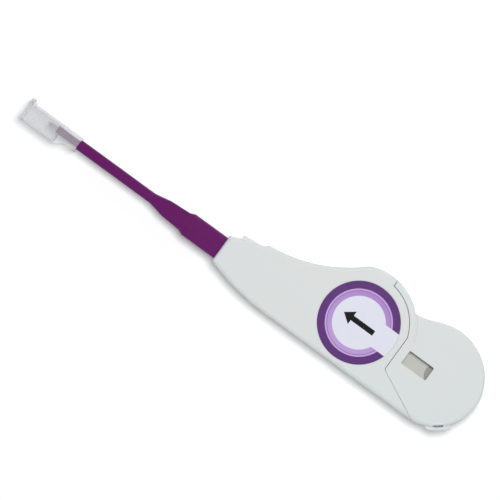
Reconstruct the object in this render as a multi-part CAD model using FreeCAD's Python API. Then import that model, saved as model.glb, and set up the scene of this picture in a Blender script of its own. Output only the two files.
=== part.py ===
import FreeCAD, Part
import math
import os

# Hand-held cleaner for fibre-optic connectors: a flat moulded case with two tape reels, a long
# nozzle that slides into it, a sprung tip and a dust cap with a lid.
# Frame: millimetres. X runs along the tool from the tip (-X) to the rear (+X), Y across it, and
# Z up from the flat underside (z = 0). The origin is below the axis of the take-up reel.

# ---------------------------------------------------------------- driving dimensions

# Case outline, in plan
CASE_T = 18.0             # thickness over both faces
WALL = 1.6                # side walls, floor and roof
HUB_R = 25.7              # round part of the case about the take-up reel
LOBE_X = 39.7             # centre of the rounded rear end
LOBE_Y = -1.3
LOBE_R = 24.9
LOBE_TURN = 25.0          # degrees up from +X where the rear end changes to its lower curve
BOTTOM_Y = -21.5          # straight lower edge
BELLY_X = -36.0           # where the lower edge starts to rise towards the mouth
MOUTH_X = -69.1           # front end of the case
MOUTH_HALF = 6.9          # half its width there
STEP_X = -54.0            # foot of the small step on the upper edge
STEP_RISE = 1.8
STEP_RUN = 2.0
SHOULDER_SLOPE = 18.7     # degrees, upper edge between the mouth and the step
BROW_SLOPE = 5.5          # degrees, where the hollow upper edge starts
BROW_END_ANGLE = 113.5    # degrees about the hub, where the hollow meets it
BROW_BLEND_R = 8.0        # rounding between the hollow and the hub
VALLEY_ANGLE = 44.6       # degrees about the hub, where the rear end joins it
VALLEY_R = 1.2            # rounding in the valley
NECK_R = 40.0             # hollow edge from the valley to the rear end
TOP_RIM_R = 1.6           # rounding of the upper rim
BASE_RIM_R = 1.2          # rounding of the lower rim
LIP_T = 0.7               # locating lip between the shells
LIP_H = 1.2
FIT = 0.05                # radial clearance of close fits

# Covers
SEAM_R = 22.5             # round part of the joint between the covers
SEAM_TOP_X = 2.9          # where it leaves the upper edge
SEAM_X = 21.4             # straight part across the case
SEAM_LOW_Y = -10.0        # lower end of the straight part
SEAM_SLOPE = -26.0        # degrees, from there to the lower edge
SEAM_CORNER_R = 1.5
SEAM_GAP = 0.25
WINDOW_X0 = 25.8          # window over the supply reel
WINDOW_LENGTH = 13.3
WINDOW_Y0 = -3.5
WINDOW_WIDTH = 6.8
WINDOW_CORNER_R = 0.6
LABEL_R = 18.7
LABEL_T = 0.2
LABEL_GAP = 0.2
CREASE_W = 0.9            # shallow groove that carries the round of the hub on
CREASE_DEPTH = 0.25
CREASE_START_ANGLE = VALLEY_ANGLE + 8   # degrees about the hub, out past the valley
CREASE_END_ANGLE = 16.0   # degrees about the hub
TAB_LENGTH = 10.3         # moulded tab ahead of the step
TAB_T = 1.1
TAB_HEIGHT = 6.0
TAB_GAP = 0.7
TAB_FREE = 2.6            # length of its end that stands clear of the case
EYELET_BAR_T = 1.4        # strap eyelet on the lower rear corner
EYELET_CORNER_R = EYELET_BAR_T * 0.9   # rounding of the bar's outer corners
EYELET_SLOT_W = 0.9
EYELET_SPAN = 15.0        # degrees either side of its middle
EYELET_SLOT_SPAN = 6.0
EYELET_ANGLE = -52.0
EYELET_Z0 = 10.5
EYELET_DROP = 1.0         # below the upper face

# Nozzle
AXIS_Y = -9.4             # the nozzle's axis in plan
STROKE = 8.0              # how far the case slides over the nozzle
NOZZLE_WALL = 0.75
NOZZLE_BASE_W = 11.2      # across, Y
NOZZLE_BASE_H = 13.5      # high, Z
NOZZLE_TAIL_X = -56.0
NOZZLE_BASE_X = -87.0     # front end of the straight base
NOZZLE_RAMP = 2.5
TAPER_W = 9.2
TAPER_H = 11.6
FLARE_X = -99.5
FLARE_W = 7.9
FLARE_H = 10.2
STEM_REAR_X = -107.0
STEM_W = 4.95
STEM_H = 9.0
STEM_FRONT_X = -147.6
TIP_W = 3.3
TIP_H = 8.4
TIP_WALL = 0.5
TIP_X = -159.5
NOZZLE_CORNER_R = 1.0
TIP_CORNER_R = NOZZLE_CORNER_R / 2
SLIDE_GAP = 0.1

# Tape and head
TAPE_W = 7.0
TAPE_T = 0.12
STRAND_Y = 1.0            # each strand's distance from the nozzle's axis
DIVIDER_T = 1.7
HEAD_X = -164.0           # front of the sprung head
HEAD_TRAVEL = 1.5
HEAD_LENGTH = 9.0
TIP_SPRING_LENGTH = 6.0
TIP_SPRING_R = 0.8
TIP_SPRING_WIRE_R = 0.15
TIP_SPRING_TURNS = 6

# Cap
CAP_REAR_X = -147.8
CAP_SLEEVE_X = -153.5
CAP_CHAMBER_X = -157.0
CAP_FRONT_X = -176.5
CAP_TOP_Y = -6.0
CAP_SLEEVE_Y = -13.4
CAP_CHAMBER_Y = -15.7
CAP_CHAMBER_H = 14.4
CAP_SLEEVE_H = 11.2
CAP_WALL = 1.1
CAP_CORNER_R = 1.0
CAP_LID_T = 1.2
CAP_KNUCKLE_R = 0.9
CAP_KNUCKLE_H = 6.0
CAP_PIN_R = 0.4

# Drive
GEAR_MODULE = 0.6
GEAR_TEETH = 14
GEAR_BACKLASH = 0.12
PRESSURE_ANGLE = 20.0
ADDENDUM = 0.8            # height of a tooth outside the pitch line, in modules
DEDENDUM = 1.1            # depth of a space inside it, in modules
GEAR_T = 2.0
RACK_BAR_W = 3.2
RACK_TAIL = 6.5           # rack beyond the gear's axis, at rest
POST_R = 2.0              # axles moulded on the case base
PIVOT_R = 1.0
RATCHET_TEETH = 3
RATCHET_R = 9.0           # foot of each ramp
RATCHET_LIFT = 1.2
RATCHET_T = 1.7
RATCHET_LAND = 4.0        # degrees of ramp left before the drop, where the pawl waits
PAWL_X = 9.5
PAWL_Y = 12.2
PAWL_BOSS_R = 1.9
PAWL_NOSE_R = 0.4
PAWL_GAP = 0.08
CLUTCH_R = 7.0            # toothed recess in the take-up reel
CLUTCH_TEETH = 12
CLUTCH_DEPTH = 3.0
CLUTCH_TOOTH = 0.6
FINGER_T = 0.8            # the gear's one-way fingers
FINGER_SWEEP = 95.0       # degrees about the hub

# Reels
TAKE_UP_FLANGE_R = 15.5
TAKE_UP_CORE_R = 8.2
TAKE_UP_TAPE_R = 9.0
SUPPLY_AHEAD = 1.8        # the supply reel's axis, from the centre of the rear end
SUPPLY_ASIDE = 2.1
SUPPLY_ROOM = 5.5         # between its flange and the case's side wall, axes in line
SUPPLY_CORE_R = 4.7
SUPPLY_TAPE_INSET = 1.8   # full winding, inside the flange's rim
FLANGE_T = 0.8
FLANGE_GAP = 0.3          # between a flange and the tape's edge
STACK_GAP = 0.2           # between pieces stacked on one axle
FLANGE_HOLE_R = 2.4
FLANGE_HOLES = 3
ROLLER_R = 2.0
ROLLER_RIM_R = 2.6
ROLLER_RIM_T = 0.6
NEAR_ROLLER_X = -33.0
LOW_ROLLER_X = -14.0
LOW_ROLLER_DROP = 0.69    # how far it stands below the near roller, in plan

# Slide carrier and its spring
CARRIER_LENGTH = 10.0
CARRIER_LOW = 6.8         # below the nozzle's axis, in plan
CARRIER_HIGH = 7.2
SLEEVE_LENGTH = 6.0       # its spigot inside the nozzle
SLEEVE_T = 1.0
SPRING_Y = -1.4
SPRING_R = 2.2
SPRING_WIRE_R = 0.35
SPRING_TURNS = 9
SPRING_LENGTH = 26.0
SPRING_LUG_LENGTH = 4.0
COIL_STEPS = 8            # straight runs in each turn of a spring
SPIGOT_R = 1.4
SPIGOT_LENGTH = 3.0
RIB_T = 1.6
RAIL_H = 0.4
RAIL_W = 1.2

# Pins that hold the covers on
PIN_R = 1.0
PIN_DEPTH = 3.5
PIN_END_GAP = 0.5         # left under a pin in its boss
BOSS_R = 1.9
BOSS_GAP = 0.3            # between a boss and what stands or turns beside it
BROW_PIN_X = -30.0        # pin under the hollow upper edge
BROW_PIN_Y = 4.6
BELLY_PIN_X = -26.0       # pin along the lower edge
HUB_PIN_ANGLE = 116.0     # degrees about the hub
HUB_PIN_INSET = 5.2
VALLEY_PIN_ANGLE = 33.7   # degrees about the hub, behind the round joint
VALLEY_PIN_ROOM = 1.2
LOBE_PIN_ANGLE = -34.6    # degrees about the rear end's centre
LOBE_PIN_INSET = 4.6
REEL_PIN_ANGLE = 66.4     # degrees about the supply reel

# ---------------------------------------------------------------- sizes worked out from them

MID_Z = CASE_T / 2
SUPPLY_X = LOBE_X + SUPPLY_AHEAD
SUPPLY_Y = LOBE_Y + SUPPLY_ASIDE
SUPPLY_FLANGE_R = LOBE_R - WALL - SUPPLY_ROOM
SUPPLY_TAPE_R = SUPPLY_FLANGE_R - SUPPLY_TAPE_INSET
ROOF_Z = CASE_T - WALL
TAPE_Z0 = MID_Z - TAPE_W / 2
TAPE_Z1 = MID_Z + TAPE_W / 2
FLANGE_LOW_Z = TAPE_Z0 - FLANGE_GAP - FLANGE_T
FLANGE_TOP_Z = TAPE_Z1 + FLANGE_GAP + FLANGE_T
GEAR_Z0 = FLANGE_TOP_Z + STACK_GAP
GEAR_PITCH_R = GEAR_MODULE * GEAR_TEETH / 2
GEAR_ROOT_R = GEAR_PITCH_R - DEDENDUM * GEAR_MODULE
CARRIER_FRONT_X = NOZZLE_TAIL_X
CARRIER_REAR_X = CARRIER_FRONT_X + CARRIER_LENGTH
RATCHET_Z0 = FLANGE_LOW_Z - STACK_GAP - RATCHET_T
RATCHET_SPAN = 360 / RATCHET_TEETH
RATCHET_REST = RATCHET_SPAN - RATCHET_LAND
ROLLER_PATH_R = ROLLER_R + FIT + TAPE_T / 2
KNUCKLE_X = CAP_FRONT_X + CAP_KNUCKLE_R
KNUCKLE_Y = CAP_TOP_Y + CAP_KNUCKLE_R + FIT


# ---------------------------------------------------------------- plane geometry

def point(x, y, z=0.0):
    return FreeCAD.Vector(x, y, z)


def polar(centre, radius, degrees):
    angle = math.radians(degrees)
    return centre + point(radius * math.cos(angle), radius * math.sin(angle))


def line(start, end):
    return Part.LineSegment(start, end).toShape()


def arc(start, end, centre, turn):
    """Arc about centre from start to end, anticlockwise for turn = 1 and clockwise for -1."""
    radius = (start - centre).Length
    first = math.atan2(start.y - centre.y, start.x - centre.x)
    last = math.atan2(end.y - centre.y, end.x - centre.x)
    while turn * (last - first) <= 0:
        last += turn * 2 * math.pi
    middle = polar(centre, radius, math.degrees((first + last) / 2))
    return Part.Arc(start, middle, end).toShape()


def crossing(centre0, radius0, centre1, radius1, near):
    """The point that is radius0 from centre0 and radius1 from centre1, on the side of near."""
    between = centre1 - centre0
    along = (between.Length ** 2 + radius0 ** 2 - radius1 ** 2) / (2 * between.Length)
    aside = math.sqrt(radius0 ** 2 - along ** 2)
    unit = between / between.Length
    foot = centre0 + unit * along
    across = point(-unit.y, unit.x) * aside
    return min(foot + across, foot - across, key=lambda place: (place - near).Length)


def on_circle(centre, radius, towards):
    """The point of a circle that lies in the direction of another point."""
    return centre + (towards - centre) * (radius / (towards - centre).Length)


def plate(wire, z0, z1):
    """A flat solid with a plane outline between two heights."""
    face = Part.Face(wire)
    face.translate(point(0, 0, z0))
    return face.extrude(point(0, 0, z1 - z0))


def polygon(points):
    return Part.makePolygon(points + [points[0]])


def block(x0, x1, y0, y1, z0, z1):
    return Part.makeBox(x1 - x0, y1 - y0, z1 - z0, point(x0, y0, z0))


def disc(x, y, radius, z0, z1):
    return Part.makeCylinder(radius, z1 - z0, point(x, y, z0))


def ring(x, y, outer, inner, z0, z1):
    return disc(x, y, outer, z0, z1).cut(disc(x, y, inner, z0, z1))


def edges_at(solid, z):
    """The edges that lie in one horizontal plane."""
    level = []
    for edge in solid.Edges:
        box = edge.BoundBox
        if abs(box.ZMin - z) < 1e-4 and abs(box.ZMax - z) < 1e-4:
            level.append(edge)
    return level


def upright_edges(solid):
    """The straight edges parallel to Z."""
    return [edge for edge in solid.Edges
            if edge.BoundBox.XLength < 1e-4 and edge.BoundBox.YLength < 1e-4]


# ---------------------------------------------------------------- case outline

HUB = point(0, 0)
LOBE = point(LOBE_X, LOBE_Y)


def lower_corner():
    """Centre and radius of the lower curve of the rear end."""
    rise = math.sin(math.radians(LOBE_TURN))
    radius = (LOBE_Y - BOTTOM_Y + LOBE_R * rise) / (1 + rise)
    return polar(LOBE, LOBE_R - radius, LOBE_TURN), radius


def case_wire():
    """The outline in plan, clockwise from the upper corner of the mouth."""
    mouth_top = point(MOUTH_X, AXIS_Y + MOUTH_HALF)
    shoulder = (STEP_X - MOUTH_X) * math.tan(math.radians(SHOULDER_SLOPE))
    step_low = point(STEP_X, mouth_top.y + shoulder)
    step_top = step_low + point(STEP_RUN, STEP_RISE)

    brow_end = polar(HUB, HUB_R, BROW_END_ANGLE)
    chord = brow_end - step_top
    climb = math.atan2(chord.y, chord.x) - math.radians(BROW_SLOPE)
    brow_r = chord.Length / (2 * math.sin(climb))
    brow = polar(step_top, brow_r, 90 + BROW_SLOPE)
    blend = crossing(brow, brow_r + BROW_BLEND_R, HUB, HUB_R - BROW_BLEND_R, brow_end)
    blend_start = on_circle(brow, brow_r, blend)
    blend_end = on_circle(blend, BROW_BLEND_R, blend + (blend - HUB))

    valley = polar(HUB, HUB_R, VALLEY_ANGLE)
    neck = crossing(valley, NECK_R, LOBE, LOBE_R + NECK_R, point(0, HUB_R + NECK_R))
    dip = crossing(HUB, HUB_R + VALLEY_R, neck, NECK_R - VALLEY_R, valley)
    dip_start = on_circle(HUB, HUB_R, dip)
    dip_end = on_circle(neck, NECK_R, dip)
    neck_end = on_circle(neck, NECK_R, LOBE)

    lower, _ = lower_corner()
    turn_point = polar(LOBE, LOBE_R, LOBE_TURN)
    bottom_end = point(lower.x, BOTTOM_Y)

    mouth_low = point(MOUTH_X, AXIS_Y - MOUTH_HALF)
    belly_start = point(BELLY_X, BOTTOM_Y)
    run = BELLY_X - MOUTH_X
    belly_rise = mouth_low.y - BOTTOM_Y
    belly_r = (run ** 2 + belly_rise ** 2) / (2 * belly_rise)
    belly = belly_start + point(0, belly_r)

    return Part.Wire([
        line(mouth_top, step_low),
        line(step_low, step_top),
        arc(step_top, blend_start, brow, 1),
        arc(blend_start, blend_end, blend, -1),
        arc(blend_end, dip_start, HUB, -1),
        arc(dip_start, dip_end, dip, 1),
        arc(dip_end, neck_end, neck, 1),
        arc(neck_end, turn_point, LOBE, -1),
        arc(turn_point, bottom_end, lower, -1),
        line(bottom_end, belly_start),
        arc(belly_start, mouth_low, belly, -1),
        line(mouth_low, mouth_top)])


def inset_wire(depth):
    """The case outline moved inwards."""
    if depth == 0:
        return case_wire()
    return case_wire().makeOffset2D(-depth)


# ---------------------------------------------------------------- case shells

def nozzle_tunnel():
    """The room that the nozzle's base slides in."""
    half_w = NOZZLE_BASE_W / 2 + SLIDE_GAP
    half_h = NOZZLE_BASE_H / 2 + SLIDE_GAP
    return block(MOUTH_X - 1, CARRIER_FRONT_X, AXIS_Y - half_w, AXIS_Y + half_w,
                 MID_Z - half_h, MID_Z + half_h)


def stop_ribs(z0, z1):
    """Ribs across the case that the carrier's shoulders rest on."""
    rib_x1 = CARRIER_FRONT_X - SLIDE_GAP
    across = block(rib_x1 - RIB_T, rib_x1, BOTTOM_Y, HUB_R, z0, z1)
    return across.common(plate(inset_wire(WALL / 2), z0, z1)).cut(nozzle_tunnel())


def front_pins():
    """Places of the front cover's pins."""
    return [point(BROW_PIN_X, BROW_PIN_Y),
            point(BELLY_PIN_X, BOTTOM_Y + WALL + BOSS_GAP + BOSS_R),
            polar(HUB, HUB_R - HUB_PIN_INSET, HUB_PIN_ANGLE)]


def rear_pins():
    """Places of the rear cover's pins."""
    supply = point(SUPPLY_X, SUPPLY_Y)
    return [polar(HUB, SEAM_R + SEAM_GAP + VALLEY_PIN_ROOM + BOSS_R, VALLEY_PIN_ANGLE),
            polar(LOBE, LOBE_R - LOBE_PIN_INSET, LOBE_PIN_ANGLE),
            polar(supply, SUPPLY_FLANGE_R + BOSS_GAP + BOSS_R, REEL_PIN_ANGLE)]


def pin_bosses():
    """Hollow bosses on the base for the covers' pins."""
    return [disc(place.x, place.y, BOSS_R, WALL / 2, MID_Z)
            for place in front_pins() + rear_pins()]


def case_base():
    """Lower shell: tray, locating lip, axles, bosses, spring wall and rails."""
    tray = plate(case_wire(), 0, MID_Z)
    tray = tray.makeFillet(BASE_RIM_R, edges_at(tray, 0))
    tray = tray.cut(plate(inset_wire(WALL), WALL, MID_Z + 1))
    lip = plate(inset_wire(WALL - LIP_T), MID_Z, MID_Z + LIP_H)
    lip = lip.cut(plate(inset_wire(WALL), MID_Z - 1, MID_Z + LIP_H + 1))

    added = [lip, stop_ribs(WALL / 2, MID_Z)] + pin_bosses()
    added.append(disc(0, 0, POST_R, WALL / 2, GEAR_Z0 + GEAR_T + STACK_GAP))
    added.append(disc(SUPPLY_X, SUPPLY_Y, POST_R, WALL / 2, FLANGE_TOP_Z + 1))
    added.append(disc(PAWL_X, PAWL_Y, PIVOT_R, WALL / 2, FLANGE_LOW_Z - STACK_GAP))
    for centre in roller_centres():
        added.append(disc(centre.x, centre.y, PIVOT_R, WALL / 2, FLANGE_TOP_Z))
    wall_x = CARRIER_REAR_X + SPRING_LENGTH
    added.append(block(wall_x, wall_x + RIB_T, SPRING_Y - SPRING_R - 1, SPRING_Y + SPRING_R + 1,
                       WALL / 2, MID_Z + SPRING_R + 1))
    for y in (AXIS_Y - CARRIER_LOW / 2, AXIS_Y + CARRIER_HIGH / 2):
        added.append(block(CARRIER_FRONT_X, CARRIER_REAR_X + STROKE, y - RAIL_W / 2, y + RAIL_W / 2,
                           WALL / 2, WALL + RAIL_H))
    tray = tray.multiFuse(added).removeSplitter()

    cuts = [nozzle_tunnel()]
    for place in front_pins() + rear_pins():
        cuts.append(disc(place.x, place.y, PIN_R + FIT, MID_Z - PIN_DEPTH - PIN_END_GAP, MID_Z + 1))
    return tray.cut(cuts)


def seam_region(grow):
    """Everything in plan that belongs to the front cover, made wider by grow."""
    low, high = BOTTOM_Y - CASE_T, HUB_R + CASE_T
    seam_x = SEAM_X + grow
    corner = point(seam_x, SEAM_LOW_Y)
    slope = math.tan(math.radians(SEAM_SLOPE))
    far = (low - SEAM_LOW_Y) / slope
    body = polygon([point(MOUTH_X - CASE_T, low), point(seam_x + far, low), corner,
                    point(seam_x, 0), point(SEAM_TOP_X + grow, 0),
                    point(SEAM_TOP_X + grow, high), point(MOUTH_X - CASE_T, high)])
    body = plate(body, 0, CASE_T + 1)
    kink = [edge for edge in upright_edges(body)
            if abs(edge.BoundBox.XMin - seam_x) < 1e-3
            and abs(edge.BoundBox.YMin - SEAM_LOW_Y) < 1e-3]
    body = body.makeFillet(SEAM_CORNER_R, kink)
    round_part = disc(0, 0, SEAM_R + grow, 0, CASE_T + 1)
    round_part = round_part.common(block(-HUB_R, seam_x, -HUB_R, HUB_R, 0, CASE_T + 1))
    return body.fuse(round_part).removeSplitter()


def cover_blank():
    """Both covers in one, before the joint between them is cut."""
    shell = plate(case_wire(), MID_Z, CASE_T)
    shell = shell.makeFillet(TOP_RIM_R, edges_at(shell, CASE_T))
    shell = shell.cut(plate(inset_wire(WALL), MID_Z - 1, ROOF_Z))
    shell = shell.fuse(stop_ribs(MID_Z + FIT, CASE_T - WALL / 2))
    return shell.cut(nozzle_tunnel())


def lip_room():
    """Rebate in the covers for the base's locating lip."""
    outer = plate(inset_wire(WALL - LIP_T - FIT), MID_Z - 1, MID_Z + LIP_H + FIT)
    return outer.cut(plate(inset_wire(WALL + FIT), MID_Z - 2, MID_Z + LIP_H + 1))


def cover_pins(places):
    """Pins under a cover that press into the base."""
    pins = []
    for place in places:
        pins.append(disc(place.x, place.y, BOSS_R, MID_Z + FIT, CASE_T - WALL / 2))
        pins.append(disc(place.x, place.y, PIN_R, MID_Z - PIN_DEPTH, MID_Z + 1))
    return pins


def front_tab():
    """Small tab along the upper edge ahead of the step, free at its front end."""
    foot = AXIS_Y + MOUTH_HALF + (STEP_X - MOUTH_X) * math.tan(math.radians(SHOULDER_SLOPE))
    slope = math.tan(math.radians(BROW_SLOPE + 1))
    end_x = STEP_X - TAB_LENGTH
    root_x = end_x + TAB_FREE
    outline = [point(STEP_X + STEP_RUN / 2, foot - TAB_T), point(STEP_X, foot),
               point(end_x, foot - TAB_LENGTH * slope),
               point(end_x, foot - TAB_LENGTH * slope - TAB_T),
               point(root_x, foot - (STEP_X - root_x) * slope - TAB_T - TAB_GAP)]
    return plate(polygon(outline), MID_Z, MID_Z + TAB_HEIGHT)


def front_cover(blank):
    """Upper shell over the nozzle and the take-up reel, with the label's recess."""
    cover = blank.common(seam_region(0))
    cover = cover.fuse(front_tab()).multiFuse(cover_pins(front_pins())).removeSplitter()
    recess = disc(0, 0, LABEL_R + LABEL_GAP, CASE_T - LABEL_T, CASE_T + 1)
    return cover.cut([recess, lip_room()])


def window_cut():
    opening = block(WINDOW_X0, WINDOW_X0 + WINDOW_LENGTH, WINDOW_Y0, WINDOW_Y0 + WINDOW_WIDTH,
                    ROOF_Z - 1, CASE_T + 1)
    return opening.makeFillet(WINDOW_CORNER_R, upright_edges(opening))


def hub_crease():
    """Shallow groove that carries the round of the hub across the rear cover."""
    groove = ring(0, 0, HUB_R + CREASE_W / 2, HUB_R - CREASE_W / 2,
                  CASE_T - CREASE_DEPTH, CASE_T + 1)
    reach = 2 * HUB_R
    wedge = polygon([HUB, polar(HUB, reach, CREASE_END_ANGLE),
                     polar(HUB, reach, CREASE_START_ANGLE)])
    return groove.common(plate(wedge, 0, CASE_T + 1))


def strap_eyelet():
    """Bar across the lower rear corner, and the slot behind it."""
    centre, radius = lower_corner()
    inner = radius - EYELET_SLOT_W
    outer = radius + EYELET_BAR_T
    reach = 2 * radius
    top = CASE_T - EYELET_DROP

    def sector(half):
        wedge = polygon([centre, polar(centre, reach, EYELET_ANGLE - half),
                         polar(centre, reach, EYELET_ANGLE + half)])
        return plate(wedge, 0, CASE_T + 1)

    bar = ring(centre.x, centre.y, outer, radius - WALL / 2, EYELET_Z0, top)
    bar = bar.common(sector(EYELET_SPAN))

    def distance(edge):
        middle = edge.CenterOfMass
        return (middle - point(centre.x, centre.y, middle.z)).Length

    bar = bar.makeFillet(EYELET_CORNER_R, [edge for edge in upright_edges(bar)
                                           if distance(edge) > radius + EYELET_BAR_T / 2])
    slot = ring(centre.x, centre.y, radius, inner, -1, CASE_T + 1)
    slot = slot.common(sector(EYELET_SLOT_SPAN))
    return bar, slot


def rear_cover(blank):
    """Upper shell over the supply reel, with the window and the strap eyelet."""
    cover = blank.cut(seam_region(SEAM_GAP))
    bar, slot = strap_eyelet()
    cover = cover.multiFuse([bar] + cover_pins(rear_pins())).removeSplitter()
    return cover.cut([window_cut(), hub_crease(), slot, lip_room()])


def round_label():
    return disc(0, 0, LABEL_R, CASE_T - LABEL_T, CASE_T)


# ---------------------------------------------------------------- reels and rollers

def flange(x, y, radius, core, z0):
    """One flange of a reel, with lightening holes between its core and its rim."""
    plate_solid = disc(x, y, radius, z0, z0 + FLANGE_T)
    circle_r = (radius + core) / 2
    holes = []
    for index in range(FLANGE_HOLES):
        place = polar(point(x, y), circle_r, index * 360 / FLANGE_HOLES)
        holes.append(disc(place.x, place.y, FLANGE_HOLE_R, z0 - 1, z0 + FLANGE_T + 1))
    return plate_solid.cut(holes)


def ratchet_wire():
    """Ratchet in plan: each tooth is a ramp that falls anticlockwise, and then a step up."""
    crest_r = RATCHET_R + RATCHET_LIFT
    edges = []
    for tooth in range(RATCHET_TEETH):
        start = 90 - RATCHET_REST + RATCHET_SPAN * tooth
        end = start + RATCHET_SPAN
        foot = polar(HUB, RATCHET_R, end)
        halfway = polar(HUB, RATCHET_R + RATCHET_LIFT / 2, (start + end) / 2)
        edges.append(Part.Arc(polar(HUB, crest_r, start), halfway, foot).toShape())
        edges.append(line(foot, polar(HUB, crest_r, end)))
    return Part.Wire(edges)


def clutch_recess():
    """Recess with saw teeth in the top of the take-up reel."""
    z0 = FLANGE_TOP_Z - CLUTCH_DEPTH
    points = []
    for tooth in range(CLUTCH_TEETH):
        start = tooth * 360 / CLUTCH_TEETH
        points.append(polar(HUB, CLUTCH_R, start))
        points.append(polar(HUB, CLUTCH_R - CLUTCH_TOOTH, start + 360 / CLUTCH_TEETH - 0.5))
    return plate(polygon(points), z0, FLANGE_TOP_Z + 1)


def take_up_reel():
    """Reel that winds the used tape, with the ratchet under it."""
    core = disc(0, 0, TAKE_UP_CORE_R, FLANGE_LOW_Z, FLANGE_TOP_Z)
    low = flange(0, 0, TAKE_UP_FLANGE_R, TAKE_UP_CORE_R, FLANGE_LOW_Z)
    high = flange(0, 0, TAKE_UP_FLANGE_R, TAKE_UP_CORE_R, FLANGE_TOP_Z - FLANGE_T)
    ratchet = plate(ratchet_wire(), RATCHET_Z0, FLANGE_LOW_Z - STACK_GAP)
    neck = disc(0, 0, RATCHET_R - 1, WALL + STACK_GAP, FLANGE_LOW_Z)
    reel = core.multiFuse([low, high, ratchet, neck]).removeSplitter()
    return reel.cut([clutch_recess(), disc(0, 0, POST_R + FIT, 0, CASE_T)])


def take_up_tape():
    return ring(0, 0, TAKE_UP_TAPE_R, TAKE_UP_CORE_R + FIT, TAPE_Z0, TAPE_Z1)


def supply_reel():
    """Reel of clean tape, open on top so that the window shows how much is left."""
    core = disc(SUPPLY_X, SUPPLY_Y, SUPPLY_CORE_R, FLANGE_LOW_Z, FLANGE_TOP_Z - FLANGE_T)
    low = flange(SUPPLY_X, SUPPLY_Y, SUPPLY_FLANGE_R, SUPPLY_CORE_R, FLANGE_LOW_Z)
    foot = disc(SUPPLY_X, SUPPLY_Y, SUPPLY_CORE_R, WALL + STACK_GAP, FLANGE_LOW_Z)
    reel = core.multiFuse([low, foot]).removeSplitter()
    return reel.cut(disc(SUPPLY_X, SUPPLY_Y, POST_R + FIT, 0, CASE_T))


def supply_tape():
    return ring(SUPPLY_X, SUPPLY_Y, SUPPLY_TAPE_R, SUPPLY_CORE_R + FIT, TAPE_Z0, TAPE_Z1)


def roller_centres():
    """The roller below the take-up reel, and the one behind the slide carrier."""
    near = point(NEAR_ROLLER_X, AXIS_Y - STRAND_Y - ROLLER_PATH_R)
    low = point(LOW_ROLLER_X, near.y - LOW_ROLLER_DROP)
    return [low, near]


def guide_roller(centre):
    """Flanged roller, turned about its pin."""
    z0 = TAPE_Z0 - FLANGE_GAP - ROLLER_RIM_T
    z1 = TAPE_Z1 + FLANGE_GAP + ROLLER_RIM_T
    inner = PIVOT_R + FIT
    section = [point(inner, 0, z0), point(ROLLER_RIM_R, 0, z0),
               point(ROLLER_RIM_R, 0, z0 + ROLLER_RIM_T), point(ROLLER_R, 0, z0 + ROLLER_RIM_T),
               point(ROLLER_R, 0, z1 - ROLLER_RIM_T), point(ROLLER_RIM_R, 0, z1 - ROLLER_RIM_T),
               point(ROLLER_RIM_R, 0, z1), point(inner, 0, z1)]
    roller = Part.Face(polygon(section)).revolve(point(0, 0), point(0, 0, 1), 360)
    roller.translate(centre)
    return roller


# ---------------------------------------------------------------- tape

def tape_line(start, end):
    """Straight length of tape on edge."""
    along = (end - start) / (end - start).Length
    side = point(-along.y, along.x) * (TAPE_T / 2)
    return plate(polygon([start + side, end + side, end - side, start - side]), TAPE_Z0, TAPE_Z1)


def tape_bend(start, end, centre, turn):
    """Length of tape round a roller or a reel."""
    radius = (start - centre).Length
    outer, inner = radius + TAPE_T / 2, radius - TAPE_T / 2
    edges = [arc(on_circle(centre, outer, start), on_circle(centre, outer, end), centre, turn),
             line(on_circle(centre, outer, end), on_circle(centre, inner, end)),
             arc(on_circle(centre, inner, end), on_circle(centre, inner, start), centre, -turn),
             line(on_circle(centre, inner, start), on_circle(centre, outer, start))]
    return plate(Part.Wire(edges), TAPE_Z0, TAPE_Z1)


def strand(stops):
    """Tape led past stops, each a centre, a path radius and a turn (1, -1, or 0 for an end)."""
    pieces = []
    arrival = None
    for (centre0, radius0, turn0), (centre1, radius1, turn1) in zip(stops, stops[1:]):
        between = centre1 - centre0
        lean = math.asin((radius1 * turn1 - radius0 * turn0) / between.Length)
        heading = math.atan2(between.y, between.x) - lean
        left = point(-math.sin(heading), math.cos(heading))
        leave = centre0 - left * (radius0 * turn0)
        arrive = centre1 - left * (radius1 * turn1)
        if arrival is not None:
            pieces.append(tape_bend(arrival, leave, centre0, turn0))
        pieces.append(tape_line(leave, arrive))
        arrival = arrive
    return pieces[0].multiFuse(pieces[1:]).removeSplitter()


def feed_strand():
    """Clean tape from the supply reel, past both rollers, to the nozzle."""
    low, near = roller_centres()
    supply_path = SUPPLY_TAPE_R + FIT + TAPE_T / 2
    end = point(CARRIER_REAR_X + FIT, AXIS_Y - STRAND_Y)
    return strand([(point(SUPPLY_X, SUPPLY_Y), supply_path, -1), (low, ROLLER_PATH_R, -1),
                   (near, ROLLER_PATH_R, 1), (end, 0, 0)])


def return_strand():
    """Used tape from the nozzle to the take-up reel."""
    start = point(CARRIER_REAR_X + FIT, AXIS_Y + STRAND_Y)
    return strand([(start, 0, 0), (HUB, TAKE_UP_TAPE_R + FIT + TAPE_T / 2, 1)])


def nozzle_tape():
    """The two strands inside the nozzle."""
    front = TIP_X + HEAD_TRAVEL
    strands = [tape_line(point(front, AXIS_Y + side * STRAND_Y),
                         point(CARRIER_REAR_X, AXIS_Y + side * STRAND_Y)) for side in (-1, 1)]
    return Part.makeCompound(strands)


def tip_tape():
    """Tape folded round the nose of the head."""
    bend = point(HEAD_X + STRAND_Y - TAPE_T / 2, AXIS_Y)
    low, high = bend - point(0, STRAND_Y), bend + point(0, STRAND_Y)
    leg = point(TIP_X - 0.1 - bend.x, 0)
    pieces = [tape_bend(high, low, bend, 1), tape_line(low, low + leg), tape_line(high, high + leg)]
    return pieces[0].multiFuse(pieces[1:]).removeSplitter()


# ---------------------------------------------------------------- nozzle

def centred(x, width, height):
    """Station of a body that is centred on the nozzle's axis."""
    return x, AXIS_Y - width / 2, AXIS_Y + width / 2, height


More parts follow.
